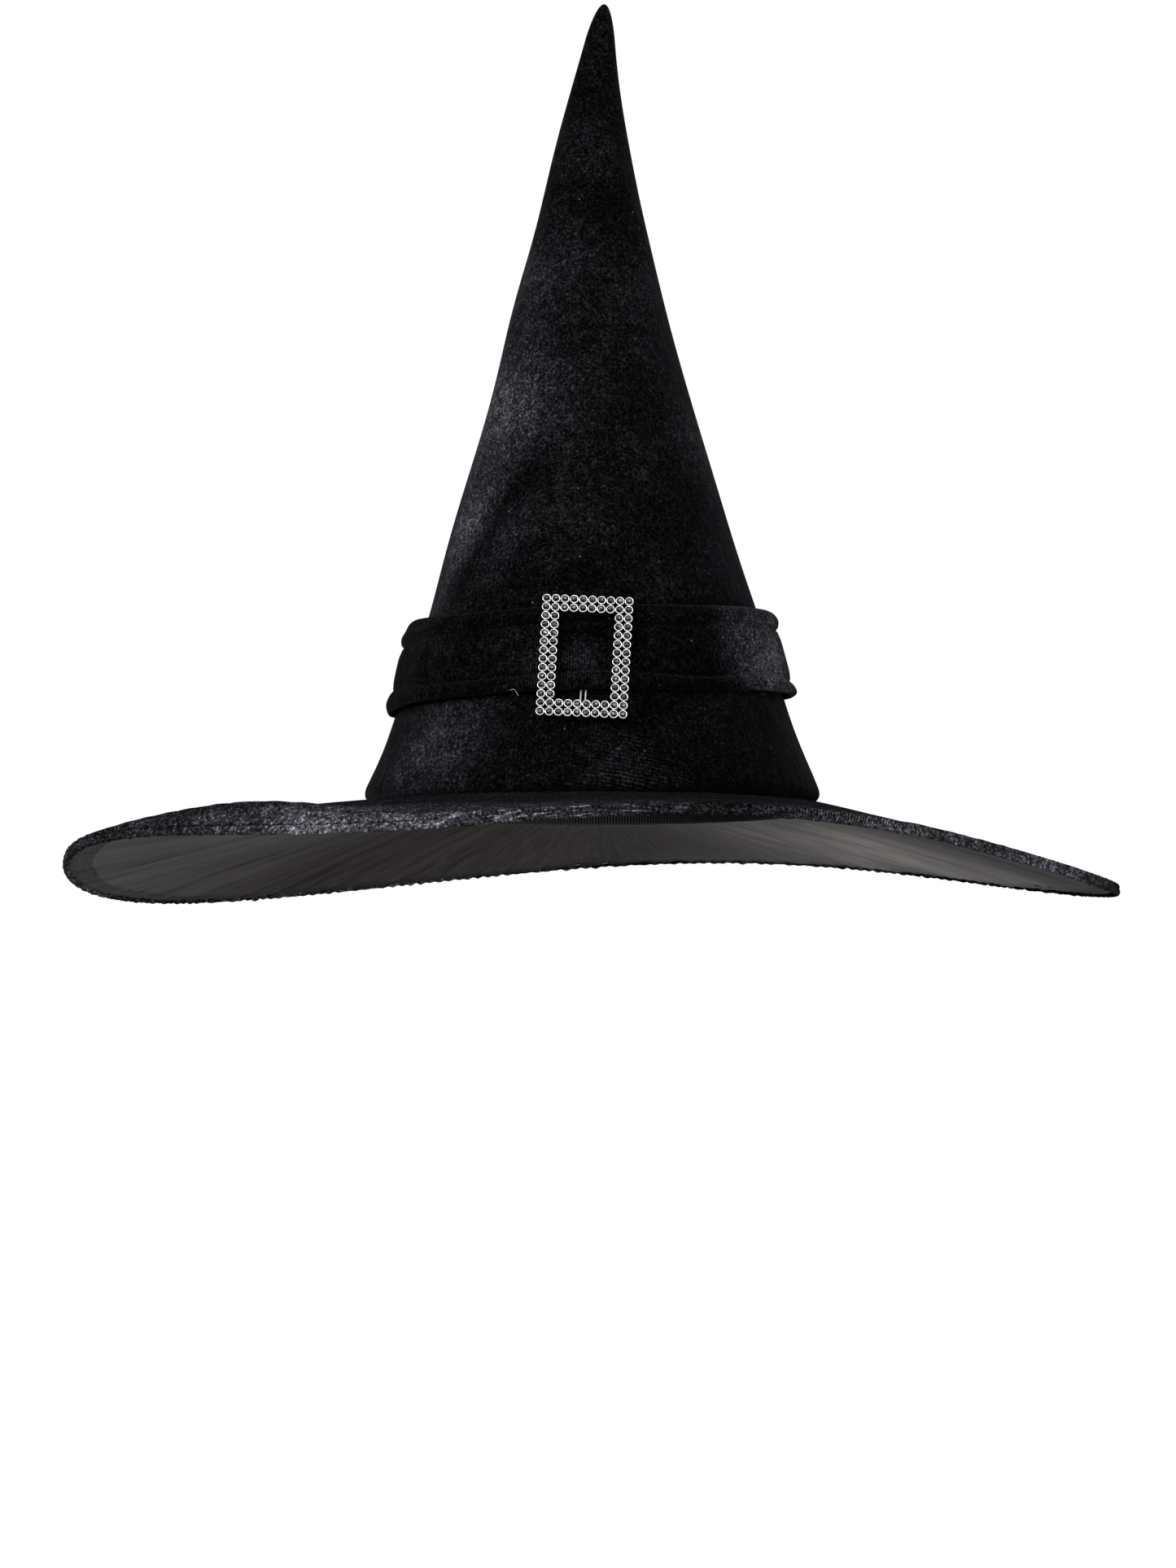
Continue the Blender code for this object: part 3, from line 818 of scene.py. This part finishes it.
def brim_velour(materials):
    top = np.linspace(OPENING_RADIUS, BRIM_RADIUS - LIP_BACK, 42)
    lip_radii, lip_depths = lip_profile()
    inner_wall = BRIM_RADIUS - HEM_INSIDE
    inside = np.array((inner_wall - 0.0004, inner_wall, inner_wall, inner_wall - 0.0006))
    under = np.linspace(inner_wall - 0.004, OPENING_RADIUS, 7)
    radii = np.concatenate((top, lip_radii, inside, under))
    inside_depths = (HEM_DEPTH + 0.0007, HEM_DEPTH, BRIM_COVER + 0.0004, BRIM_COVER)
    depths = np.concatenate((0 * top, lip_depths, inside_depths, 0 * under + BRIM_COVER))
    columns = round_columns(SCALLOPS * 4)

    def relief_at(azimuth, radius, depth):
        shown = (radius >= OPENING_RADIUS) & (depth < BRIM_COVER * 0.9) & (radius < BRIM_RADIUS - 0.001)
        soft = 0.00040 * waves(azimuth, radius, 11, (2, 16), (0.05, 0.12)) * bump_at(radius, 0.185, 0.05)
        pulls = 0.00016 * waves(azimuth, radius, 12, (70, 150), (0.03, 0.08)) * bump_at(radius, 0.232, 0.010)
        seam = 0.00018 * waves(azimuth, radius, 13, (50, 90), (0.05, 0.09)) * bump_at(radius, 0.104, 0.009)
        in_lip = (radius > BRIM_RADIUS - 0.0012) & (depth > 0.0003)
        pucker = np.cos(SCALLOPS * (azimuth - columns[0]))
        along = 1 + 0.5 * waves(azimuth, depth, 14, (3, 40), (0.5, 0.9))
        lip = 0.00018 * waves(azimuth, depth, 15, (90, 210), (0.010, 0.030))
        rear = np.clip(np.sin(azimuth) + 0.35, 0.0, 1.0)
        scallop = 0.00024 * rear * pucker * np.clip((depth - 0.0042) / 0.0018, 0.0, 1.0) * along
        thin = -LIP_THINNED * edge_pinch(azimuth)
        return np.where(shown, soft + pulls + seam, 0.0) + np.where(in_lip, lip + scallop + thin, 0.0)

    points = brim_points(radii, depths, relief_at, columns)
    pattern = disc_pattern(radii, depths, columns)
    piece = cloth("brim_velour", points, pattern, materials["brim"], ("brim_top",))


def brim_foam_sheet(materials):
    """The foam between the brim's two cloths."""
    edge = BRIM_RADIUS - HEM_WIDTH
    upper = np.linspace(OPENING_RADIUS, edge, 30)
    radii = np.concatenate((upper, upper[::-1]))
    depths = np.concatenate((0 * upper + FOAM_DEPTH, 0 * upper + FOAM_DEPTH + BRIM_FOAM))
    columns = round_columns(240)
    points = brim_points(radii, depths, flat_foam, columns)
    pattern = disc_pattern(radii, depths, columns)
    piece = cloth("brim_foam_sheet", points, pattern, materials["foam"], ("brim_foam",))


def lining_relief(azimuth, radius, depth):
    """Pulls that run out from the opening, and puckers outside the hem's stitching."""
    shown = depth > LINING_DEPTH + LINING_THICK / 2
    share = np.clip((radius - FLAT_RADIUS) / (BRIM_RADIUS - FLAT_RADIUS), 0.0, 1.0)
    free = np.clip((radius - FLAT_RADIUS - 0.002) / 0.012, 0.0, 1.0)
    broad = 0.00110 * waves(azimuth, radius, 21, (9, 34), (0.25, 0.60)) * np.sin(pi * share) ** 0.6
    fine = 0.00035 * waves(azimuth, radius, 22, (60, 140), (0.10, 0.30)) * bump_at(share, 0.78, 0.26)
    hem_middle = BRIM_RADIUS - 0.6 * HEM_STITCH
    tight = 0.00040 * waves(azimuth, radius, 23, (150, 300), (0.04, 0.10))
    tight = tight * bump_at(radius, hem_middle, 0.004)
    puffed = 0.00060 * bump_at(radius, hem_middle, 0.0035)
    stitched = -0.00035 * bump_at(radius, BRIM_RADIUS - HEM_STITCH, 0.0009)
    pulled = np.maximum(broad + fine, -0.0002)
    return np.where(shown, (pulled + tight + puffed + stitched) * free, 0.0)


def brim_lining(materials):
    edge = BRIM_RADIUS - LINING_EDGE
    upper = np.linspace(OPENING_RADIUS, edge, 12)
    near_hem = np.linspace(edge, edge - 0.016, 26)
    lower = np.concatenate((near_hem, np.linspace(edge - 0.0175, FLAT_RADIUS, 40), (0.100, OPENING_RADIUS)))
    radii = np.concatenate((upper, lower))
    depths = np.concatenate((0 * upper + LINING_DEPTH, 0 * lower + UNDERSIDE))
    columns = round_columns(840)
    points = brim_points(radii, depths, lining_relief, columns)
    pattern = ring_pattern(radii, depths, columns)
    piece = cloth("brim_lining_cloth", points, pattern, materials["lining"], ("brim_lining",))


def hem_line(radius, depth):
    """A line round the brim at a radius and a depth under its top."""
    def line(azimuth):
        height = float(brim_height(radius, azimuth)) - depth + SEAM_HEIGHT
        return radius * cos(azimuth), radius * sin(azimuth), height
    return line


def brim_stitching(materials):
    """Topstitching in the crease of the edge, and the row that holds hem and lining underneath."""
    stitch_row(
        "edge_topstitch", hem_line(BRIM_RADIUS - LIP_CREASE, LIP_GROOVE),
        lambda azimuth: (cos(azimuth), sin(azimuth), 0.0), materials["black_thread"],
    )
    stitch_row(
        "lining_topstitch", hem_line(BRIM_RADIUS - HEM_STITCH, UNDERSIDE - 0.0003),
        lambda azimuth: (0.0, 0.0, -1.0), materials["black_thread"],
    )


# ---- Sweatband ----
def sweatband(materials):
    inside_foam = COVER_THICK + FOAM_THICK + 2 * LAYER_GAP
    foot = OPENING_RADIUS - LAYER_GAP
    top = float(crown_radius(np.array(SWEATBAND_RISE))) - inside_foam
    rise = np.concatenate((np.linspace(-UNDERSIDE, 0.0, 6), np.linspace(0.0, SWEATBAND_RISE, 18)[1:]))
    outer = np.where(rise < 0, foot, foot + (top - foot) * rise / SWEATBAND_RISE)
    radii = np.concatenate((outer, outer[::-1] - SWEATBAND_THICK))
    heights = np.concatenate((rise, rise[::-1]))
    columns = round_columns(480)
    azimuths = columns[None, :]
    inner = np.arange(len(radii))[:, None] >= len(rise)
    ripple = 0.00035 * waves(azimuths, heights[:, None], 31, (12, 40), (0.05, 0.10))
    edge = bump_at(heights[:, None], SWEATBAND_RISE - 0.0025, 0.0012) * 0.0004
    radius = radii[:, None] + np.where(inner, -np.abs(ripple) + edge, 0.0)
    height = heights[:, None] + SEAM_HEIGHT + 0.0 * azimuths
    points = round_points(radius, azimuths, height)
    pattern = ring_pattern(radii, heights, columns) * (0.094 / RING_RADIUS, 1.0)
    piece = cloth("sweatband_ribbon", points, pattern, materials["ribbon"], ("sweatband",))


# ---- Hat band ----
def band_inner_radius(height):
    return BAND_RADIUS - BAND_SLOPE * height


def band_face(azimuth, share):
    """How far the band's face stands out of its inside, from share -1 at its foot to 1 at its top."""
    wander = 0.035 * waves(azimuth, share * 0.1, 41, (1, 9), (0.5, 0.9), 8)
    lower = share + 0.60 + wander
    upper = share - 0.58 + 0.8 * wander + 0.20 * bump_at(azimuth, radians(190), 0.40)
    under_buckle = bump_at(((azimuth - radians(FRONT_AZIMUTH)) / 0.62) ** 2, 0.0, 1.0)
    lips = BAND_LIP * (bump_at(lower, -0.22, 0.15) + bump_at(upper, 0.22, 0.15))
    fold = BAND_CREASE * (0.5 + 0.5 * bump_at(azimuth, radians(FRONT_AZIMUTH), 0.9))
    creases = fold * (bump_at(lower, 0.0, 0.042) + bump_at(upper, 0.0, 0.040))
    creases += 0.0005 * (bump_at(lower, 0.06, 0.12) + bump_at(upper, -0.06, 0.12))
    soft = 0.00022 * waves(azimuth, share * 0.02, 42, (8, 40), (0.04, 0.09))
    gathers = 0.00010 * waves(azimuth, share * 0.02, 43, (110, 190), (0.10, 0.30))
    over_bar = (azimuth - radians(FRONT_AZIMUTH + BUCKLE_AZIMUTH)) * BAND_RADIUS
    ridge = 0.00045 * bump_at(over_bar, -0.0015, 0.0040) * np.clip(1.2 - abs(share), 0.0, 1.0)
    return BAND_THICK + lips - creases + soft + gathers + ridge - BUCKLE_ROOM * under_buckle


def hat_band(materials):
    half = BAND_HEIGHT / 2
    turn = np.linspace(0, pi, 110)
    share = -0.35 * np.cos(turn) + 0.65 * np.linspace(-1, 1, 110)
    inner_share = np.linspace(0.97, -0.97, 10)
    columns = round_columns(560, (0.3, 0.6))
    azimuths = columns[None, :]
    rounded = np.clip(1 - np.abs(share) ** 22, 0.0, 1.0)[:, None] ** 0.5
    face = band_face(azimuths, share[:, None]) * (0.30 + 0.70 * rounded)
    around = from_seam(azimuths) * BAND_RADIUS
    join = 0.0011 * bump_at(around, 0.004, 0.0030) - 0.0009 * bump_at(around, -0.0006, 0.0008)
    face = face + join * rounded
    outer = band_inner_radius(share * half)[:, None] + face
    inner = band_inner_radius(inner_share * half)[:, None] + 0.0 * azimuths
    heights = np.concatenate((share, inner_share))[:, None] * half
    radius = np.concatenate((outer, inner))
    sway = 0.0005 * waves(azimuths, 0.0 * heights, 44, (2, 7), (0.5, 0.9), 6)
    sag = BAND_SAG * bump_at(azimuths, radians(183), 0.45) * np.clip(-heights / half, 0.0, 1.0) ** 3
    height = SEAM_HEIGHT + BAND_CENTRE + heights + band_rise(azimuths) + sway - sag
    points = round_points(radius, azimuths, height)
    across = closed(heights[:, 0])[:, None]
    pattern = np.stack(np.broadcast_arrays(whole_turn(columns) * BAND_RADIUS, across), -1)
    piece = cloth("hat_band_velour", points, pattern, materials["band"], ("hat_band",))


def tacks(materials):
    """Each tack is a few turns of thread from the crown to the band."""
    for name, azimuth in TACKS:
        angle = radians(azimuth)
        rise = BAND_CENTRE + float(band_rise(angle))
        outer = band_inner_radius(0.0)
        inner = float(crown_radius(np.array(rise)))
        out = Vector((cos(angle), sin(angle), 0.0))
        side = Vector((-sin(angle), cos(angle), 0.0))
        curve = new_wire("tack_thread_" + name, THREAD_RADIUS)
        for strand in range(TACK_TURNS):
            places = []
            for share in np.linspace(0, 1, 9):
                twist = 2 * pi * (strand / TACK_TURNS + 0.4 * share)
                off = side * 0.00045 * cos(twist) + Vector((0, 0, 0.0011)) * sin(twist)
                place = out * (inner + (outer - inner) * share) + off
                places.append((place.x, place.y, place.z + SEAM_HEIGHT + rise))
            add_strand(curve, places)
        finish_piece(curve, curve.name, materials["pale_thread"], "root", ("tack_" + name,))


# ---- Buckle ----
def buckle_place():
    """Places what is drawn in the X-Z plane, front towards -Y, where the CAD model has the buckle."""
    on_axis = Matrix.Translation((0, 0, SEAM_HEIGHT + BUCKLE_CENTRE))
    turned_round = Matrix.Rotation(radians(BUCKLE_AZIMUTH), 4, "Z")
    leaned = Matrix.Rotation(radians(-BUCKLE_TILT), 4, "X") @ Matrix.Rotation(radians(BUCKLE_ROLL), 4, "Y")
    return on_axis @ turned_round @ Matrix.Translation((0, -BUCKLE_RADIUS, 0)) @ leaned


def cell_place(column, row, turn=0.0, behind=0.0):
    """Matrix at the centre of a cell, or between cells, turned about its own axis."""
    x, z = (column - (COLUMNS - 1) / 2) * PITCH, (row - (ROWS - 1) / 2) * PITCH
    return buckle_place() @ Matrix.Translation((x, behind, z)) @ Matrix.Rotation(turn, 4, "Y")


def ring_cells(inset):
    """Rows of cells at a distance from the outside: (name, list of cells), each cell once."""
    left, right = inset, COLUMNS - 1 - inset
    low, high = inset, ROWS - 1 - inset
    return (
        ("top", [(column, high) for column in range(left, right + 1)]),
        ("bottom", [(column, low) for column in range(left, right + 1)]),
        ("left", [(left, row) for row in range(low + 1, high)]),
        ("right", [(right, row) for row in range(low + 1, high)]),
    )


def stone_cups(materials):
    """Eighty round cups with rolled rims, joined by short links behind the rims."""
    cells = [cell for inset in (0, 1) for _, row in ring_cells(inset) for cell in row]
    wall, rim, bore = CUP_RADIUS * 0.90, CUP_RADIUS, STONE_RADIUS
    shape = (
        (0.0, 0.0), (wall * 0.8, 0.0), (wall, 0.0003 / CUP_DEPTH), (wall, 0.50), (rim * 0.98, 0.62),
        (rim, 0.80), (rim * 0.95, 0.95), (rim * 0.87, 1.0),
        (bore * 1.04, 0.93), (bore, 0.78), (bore, 0.45), (0.0, 0.40),
    )
    profile = [(radius, CUP_DEPTH * share) for radius, share in shape]
    metal = (materials["metal"], "buckle", "plated_metal")
    many("stone_cups", *lathe(profile, 20), [cell_place(*cell) for cell in cells], *metal, ("buckle_frame",))
    behind_rims = -CUP_DEPTH * 0.22
    lengthwise = Matrix.Rotation(pi / 2, 4, "Z")
    links = []
    for column, row in cells:
        if (column + 1, row) in cells:
            links.append(cell_place(column + 0.5, row, 0.0, behind_rims) @ lengthwise)
        if (column, row + 1) in cells:
            links.append(cell_place(column, row + 0.5, pi / 2, behind_rims) @ lengthwise)
    shape = ((0, -0.5), (1, -0.375), (1, 0.375), (0, 0.5))
    bar = [(LINK_RADIUS * wide, LINK_LENGTH * along) for wide, along in shape]
    many("cup_links", *lathe(bar, 8), links, *metal)


def stones(materials):
    """A cut stone in each cup: eight crown facets round a flat table, over a shallow pavilion."""
    low = CUP_DEPTH * 0.72
    tall = STONE_TOP - low
    girdle, middle, table = STONE_RADIUS * 0.985, STONE_RADIUS * 0.80, STONE_RADIUS * 0.46
    around = 2 * FACETS
    vertices, faces = lathe([(0.0, CUP_DEPTH * 0.44), (girdle, low - 0.0001), (girdle, low)], around)
    rim, mid = len(vertices) - around, len(vertices)
    flat = mid + FACETS
    for radius, depth, phase in ((middle, low + tall * 0.55, 0.5), (table, low + tall, 0.0)):
        for side in range(FACETS):
            turn = 2 * pi * (side + phase) / FACETS
            vertices.append((radius * cos(turn), -depth, radius * sin(turn)))
    for side in range(FACETS):
        after = (side + 1) % FACETS
        one, two, three = rim + 2 * side, rim + 2 * side + 1, rim + 2 * after
        faces += [(one, two, mid + side), (two, three, mid + side)]
        faces += [(three, mid + after, mid + side), (flat + side, mid + side, flat + after)]
        faces.append((mid + side, mid + after, flat + after))
    faces.append([flat + side for side in range(FACETS)])
    for inset, ring_name in ((0, "outer"), (1, "inner")):
        for side, cells in ring_cells(inset):
            random = np.random.default_rng(7)
            places = [cell_place(*cell, random.uniform(0, pi)) for cell in cells]
            name = f"{side}_{ring_name}"
            many(
                "stones_" + name, vertices, faces, places, materials["crystal"], "buckle", "crystal",
                ("crystals_" + name,), smooth=False,
            )


def bar_rods(materials):
    """The two smooth rods behind the band, which come forward to the frame at both ends."""
    low = -(ROWS / 2 - 1.0) * PITCH
    high = (ROWS / 2 - 0.12) * PITCH
    front = BAR_WIRE + LAYER_GAP
    back = BAR_SETBACK
    route = [(front, low), (front + 0.0008, low + 0.0008), (back - 0.0024, low + 0.0040)]
    route += [(back - 0.0010, low + 0.0072), (back, low + 0.0112), (back, high - 0.0024)]
    route += [(back - 0.0006, high - 0.0010), (front + 0.0020, high), (front, high)]
    place = buckle_place()
    for name, side in (("left", -1), ("right", 1)):
        curve = new_wire("bar_rod_" + name, BAR_WIRE, 4)
        add_strand(curve, [place @ Vector((side * BAR_SPACING / 2, *spot)) for spot in route])
        finish_piece(curve, curve.name, materials["rod"], "buckle", ("bar_wire_" + name,))


def loose_thread(materials):
    """The end of a sewing thread that shows under the band, beside the buckle."""
    curve = new_wire("loose_thread", LOOSE_THREAD_RADIUS)
    spline = curve.splines.new("BEZIER")
    spline.bezier_points.add(3)
    foot = SEAM_HEIGHT + BAND_CENTRE - BAND_HEIGHT / 2
    radius = BAND_RADIUS + BAND_THICK + BAND_LIP + BAND_SLOPE * BAND_HEIGHT / 2 + 0.0012
    route = ((-0.0362, -0.0004), (-0.0345, -0.0002), (-0.0335, -0.0013), (-0.0326, -0.0030))
    for point, (x, rise) in zip(spline.bezier_points, route):
        point.co = (x, -sqrt(radius**2 - x**2), foot + rise)
        point.handle_left_type = point.handle_right_type = "AUTO"
    finish_piece(curve, "loose_thread", materials["pale_thread"], "root")


# ---- Stage ----
def look(holder, place, ahead):
    """Puts a lamp or camera at a place, looking along a direction."""
    holder.location = place
    holder.rotation_mode = "QUATERNION"
    holder.rotation_quaternion = ahead.to_track_quat("-Z", "Y")


def studio():
    """A pale floor and backdrop, a bright wall behind the hat, and soft lamps in front."""
    world = bpy.data.worlds.new("studio")
    world.use_nodes = True
    bpy.context.scene.world = world
    tree = world.node_tree
    background = tree.nodes["Background"]
    background.inputs["Color"].default_value = (0.90, 0.90, 0.91, 1.0)
    split = add("SeparateXYZ", {0: source(world, "TexCoord", "Generated")})
    behind = between(split.outputs["Y"], -0.9, 0.9, low=0.10, high=0.32)
    seen = source(world, "LightPath", "Is Camera Ray")
    mixed = add("Mix", {"Factor": seen, "A": behind, "B": 1.12})
    tree.links.new(mixed.outputs["Result"], background.inputs["Strength"])

    for name, place, size, power in (
        ("key", (-2.3, -1.6, 1.2), 1.6, 60), ("front", (-0.5, -3.2, 1.1), 2.4, 62),
        ("low_fill", (1.7, -0.9, -0.9), 1.2, 24), ("back_fill", (1.2, 2.8, 1.4), 2.4, 40),
    ):
        light = bpy.data.lights.new(name, "AREA")
        light.size = size
        light.energy = power
        look(add_object(name, light), place, Vector((0.0, 0.0, 0.18)) - Vector(place))

    floor_mesh = bpy.data.meshes.new("floor")
    build = bmesh.new()
    bmesh.ops.create_circle(build, cap_ends=True, segments=64, radius=8.0)
    build.to_mesh(floor_mesh)
    build.free()
    floor = add_object("floor", floor_mesh)
    floor.location = (0, 0, -0.0005)
    # Only what looks down on the floor sees it: the hat is seen, and lit, from below too.
    for rays in ("shadow", "diffuse", "glossy", "transmission"):
        setattr(floor, "visible_" + rays, False)
    material, shader = new_finish("pale_floor", Roughness=0.9, Specular_IOR_Level=0.2)
    tone = noise(in_place(material), 1.5)
    dress(shader, Base_Color=greys(tone, (0.3, 0.78), (0.7, 0.82)))
    from_below = source(material, "NewGeometry", "Backfacing")
    clear = source(material, "BsdfTransparent")
    mixed = add("MixShader", {0: from_below, 1: shader.outputs[0], 2: clear})
    dress(material.node_tree.nodes["Material Output"], Surface=mixed.outputs[0])
    floor_mesh.materials.append(material)


def camera():
    """Looks slightly up at the hat from in front, as at a wearer's hat from eye level."""
    distance, tilt, lens = 2.5, radians(3.3), 124.2
    aim = Vector((-0.0015, 0.0, SEAM_HEIGHT + 0.0092))
    ahead = Vector((0.0, cos(tilt), sin(tilt)))
    data = bpy.data.cameras.new("camera")
    data.lens = lens
    data.sensor_width = 36.0
    holder = add_object("camera", data)
    look(holder, aim - ahead * distance, ahead)
    bpy.context.scene.camera = holder


def main():
    camera()
    bpy.context.scene.view_settings.view_transform = "Standard"
    materials = {
        # The brim's gain of 3.0 is partly painted light on its rolled edge, which faces the lamps, and its
        # top keeps half of that as painted shade
        "crown": velour(
            "crown_pile", 0.75, 0.05, CROWN_LIT_AND_CRUSHED, CROWN_RIBBED,
            laddered=CROWN_LADDERED, crease=CROWN_CREASE_SHADE,
        ),
        "brim": velour(
            "brim_pile", 3.0, 0.008, BRIM_LIT_SHADED_AND_CRUSHED, BRIM_RIBBED,
            sheen_streaked=BRIM_SHEEN_STREAKS, painted_top_shade=0.5, nap=0.25,
        ),
        "band": velour("band_pile", 0.55, 0.04, BAND_PAINTED_SHEEN, BAND_RIBBED),
        "lining": satin_lining(),
        "foam": foam_sheet(),
        "ribbon": grosgrain(),
        "black_thread": thread("black_thread", (0.004,) * 3, (0.03,) * 3),
        "pale_thread": thread("pale_thread", (0.42, 0.41, 0.38), (0.75, 0.74, 0.71)),
        "metal": plated_metal("plated_metal", 0.34, 0.20, 0.85),
        "rod": plated_metal("plated_wire", 0.45, 0.30, 0.50),
        "crystal": foiled_crystal(),
        "steel": spring_steel(),
    }
    crown(materials)
    sweatband(materials)
    brim_velour(materials)
    brim_foam_sheet(materials)
    brim_lining(materials)
    brim_stitching(materials)
    hat_band(materials)
    tacks(materials)
    stone_cups(materials)
    stones(materials)
    bar_rods(materials)
    loose_thread(materials)
    for node in ("brim_wire", "wire_sleeve"):
        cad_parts[node].data.materials[0] = materials["steel"]
    studio()


main()
